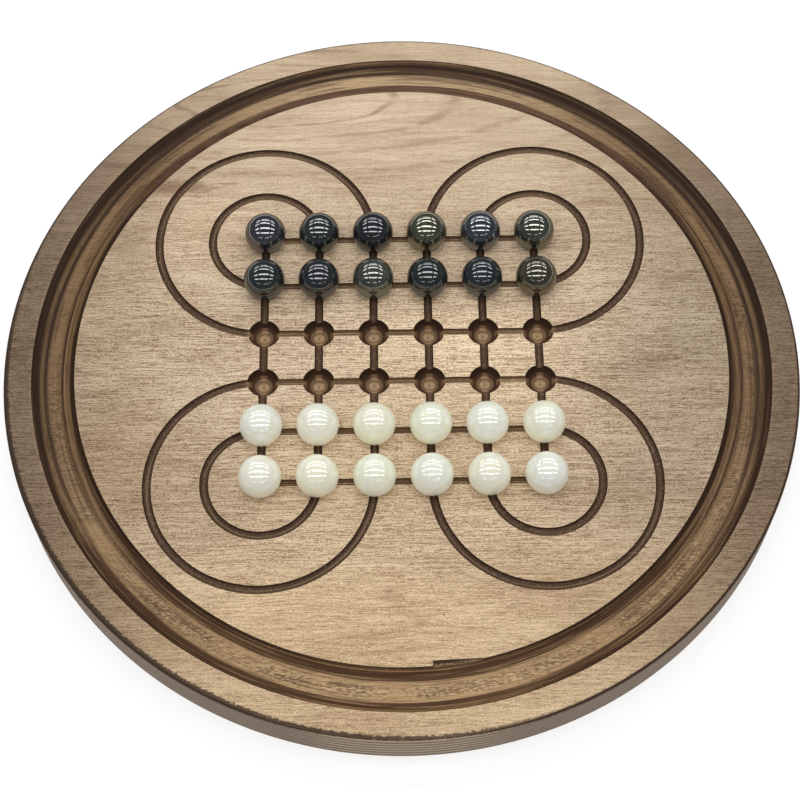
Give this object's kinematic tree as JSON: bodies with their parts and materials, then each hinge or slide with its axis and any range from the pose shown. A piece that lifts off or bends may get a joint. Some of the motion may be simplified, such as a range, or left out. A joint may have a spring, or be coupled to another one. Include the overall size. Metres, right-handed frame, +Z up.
{
  "type": "marble board game",
  "caption": "Round plywood game board with a square of sockets, corner loop grooves, a rim trough for captures, and loose dark and pale glass marbles.",
  "frame": {"origin": "middle of the disc's underside, where it rests on a table", "axes": "+Z up, out of the playing face; +X along the face grain, to the pale side's right; +Y towards the dark marbles"},
  "size_m": [0.3052, 0.3052, 0.0317],
  "materials": {
    "plywood": "sanded birch plywood, brown stained, satin",
    "dark_glass": "opaque gunmetal glass with a lustre coat, gloss",
    "pale_glass": "opaque pearl white glass, gloss"
  },
  "bodies": {
    "board": {"board": "plywood"},
    "dark_marble_1_1": {"dark_marble_1_1": "dark_glass"},
    "dark_marble_1_2": {"dark_marble_1_2": "dark_glass"},
    "dark_marble_1_3": {"dark_marble_1_3": "dark_glass"},
    "dark_marble_1_4": {"dark_marble_1_4": "dark_glass"},
    "dark_marble_1_5": {"dark_marble_1_5": "dark_glass"},
    "dark_marble_1_6": {"dark_marble_1_6": "dark_glass"},
    "dark_marble_2_1": {"dark_marble_2_1": "dark_glass"},
    "dark_marble_2_2": {"dark_marble_2_2": "dark_glass"},
    "dark_marble_2_3": {"dark_marble_2_3": "dark_glass"},
    "dark_marble_2_4": {"dark_marble_2_4": "dark_glass"},
    "dark_marble_2_5": {"dark_marble_2_5": "dark_glass"},
    "dark_marble_2_6": {"dark_marble_2_6": "dark_glass"},
    "pale_marble_5_1": {"pale_marble_5_1": "pale_glass"},
    "pale_marble_5_2": {"pale_marble_5_2": "pale_glass"},
    "pale_marble_5_3": {"pale_marble_5_3": "pale_glass"},
    "pale_marble_5_4": {"pale_marble_5_4": "pale_glass"},
    "pale_marble_5_5": {"pale_marble_5_5": "pale_glass"},
    "pale_marble_5_6": {"pale_marble_5_6": "pale_glass"},
    "pale_marble_6_1": {"pale_marble_6_1": "pale_glass"},
    "pale_marble_6_2": {"pale_marble_6_2": "pale_glass"},
    "pale_marble_6_3": {"pale_marble_6_3": "pale_glass"},
    "pale_marble_6_4": {"pale_marble_6_4": "pale_glass"},
    "pale_marble_6_5": {"pale_marble_6_5": "pale_glass"},
    "pale_marble_6_6": {"pale_marble_6_6": "pale_glass"}
  },
  "joints": [
    {"name": "dark_marble_1_1_lift", "type": "slide", "parent": "board", "child": "dark_marble_1_1", "axis": [0, 0, 1], "range_m": [0, 0.03]},
    {"name": "dark_marble_1_2_lift", "type": "slide", "parent": "board", "child": "dark_marble_1_2", "axis": [0, 0, 1], "range_m": [0, 0.03]},
    {"name": "dark_marble_1_3_lift", "type": "slide", "parent": "board", "child": "dark_marble_1_3", "axis": [0, 0, 1], "range_m": [0, 0.03]},
    {"name": "dark_marble_1_4_lift", "type": "slide", "parent": "board", "child": "dark_marble_1_4", "axis": [0, 0, 1], "range_m": [0, 0.03]},
    {"name": "dark_marble_1_5_lift", "type": "slide", "parent": "board", "child": "dark_marble_1_5", "axis": [0, 0, 1], "range_m": [0, 0.03]},
    {"name": "dark_marble_1_6_lift", "type": "slide", "parent": "board", "child": "dark_marble_1_6", "axis": [0, 0, 1], "range_m": [0, 0.03]},
    {"name": "dark_marble_2_1_lift", "type": "slide", "parent": "board", "child": "dark_marble_2_1", "axis": [0, 0, 1], "range_m": [0, 0.03]},
    {"name": "dark_marble_2_2_lift", "type": "slide", "parent": "board", "child": "dark_marble_2_2", "axis": [0, 0, 1], "range_m": [0, 0.03]},
    {"name": "dark_marble_2_3_lift", "type": "slide", "parent": "board", "child": "dark_marble_2_3", "axis": [0, 0, 1], "range_m": [0, 0.03]},
    {"name": "dark_marble_2_4_lift", "type": "slide", "parent": "board", "child": "dark_marble_2_4", "axis": [0, 0, 1], "range_m": [0, 0.03]},
    {"name": "dark_marble_2_5_lift", "type": "slide", "parent": "board", "child": "dark_marble_2_5", "axis": [0, 0, 1], "range_m": [0, 0.03]},
    {"name": "dark_marble_2_6_lift", "type": "slide", "parent": "board", "child": "dark_marble_2_6", "axis": [0, 0, 1], "range_m": [0, 0.03]},
    {"name": "pale_marble_5_1_lift", "type": "slide", "parent": "board", "child": "pale_marble_5_1", "axis": [0, 0, 1], "range_m": [0, 0.03]},
    {"name": "pale_marble_5_2_lift", "type": "slide", "parent": "board", "child": "pale_marble_5_2", "axis": [0, 0, 1], "range_m": [0, 0.03]},
    {"name": "pale_marble_5_3_lift", "type": "slide", "parent": "board", "child": "pale_marble_5_3", "axis": [0, 0, 1], "range_m": [0, 0.03]},
    {"name": "pale_marble_5_4_lift", "type": "slide", "parent": "board", "child": "pale_marble_5_4", "axis": [0, 0, 1], "range_m": [0, 0.03]},
    {"name": "pale_marble_5_5_lift", "type": "slide", "parent": "board", "child": "pale_marble_5_5", "axis": [0, 0, 1], "range_m": [0, 0.03]},
    {"name": "pale_marble_5_6_lift", "type": "slide", "parent": "board", "child": "pale_marble_5_6", "axis": [0, 0, 1], "range_m": [0, 0.03]},
    {"name": "pale_marble_6_1_lift", "type": "slide", "parent": "board", "child": "pale_marble_6_1", "axis": [0, 0, 1], "range_m": [0, 0.03]},
    {"name": "pale_marble_6_2_lift", "type": "slide", "parent": "board", "child": "pale_marble_6_2", "axis": [0, 0, 1], "range_m": [0, 0.03]},
    {"name": "pale_marble_6_3_lift", "type": "slide", "parent": "board", "child": "pale_marble_6_3", "axis": [0, 0, 1], "range_m": [0, 0.03]},
    {"name": "pale_marble_6_4_lift", "type": "slide", "parent": "board", "child": "pale_marble_6_4", "axis": [0, 0, 1], "range_m": [0, 0.03]},
    {"name": "pale_marble_6_5_lift", "type": "slide", "parent": "board", "child": "pale_marble_6_5", "axis": [0, 0, 1], "range_m": [0, 0.03]},
    {"name": "pale_marble_6_6_lift", "type": "slide", "parent": "board", "child": "pale_marble_6_6", "axis": [0, 0, 1], "range_m": [0, 0.03]}
  ]
}
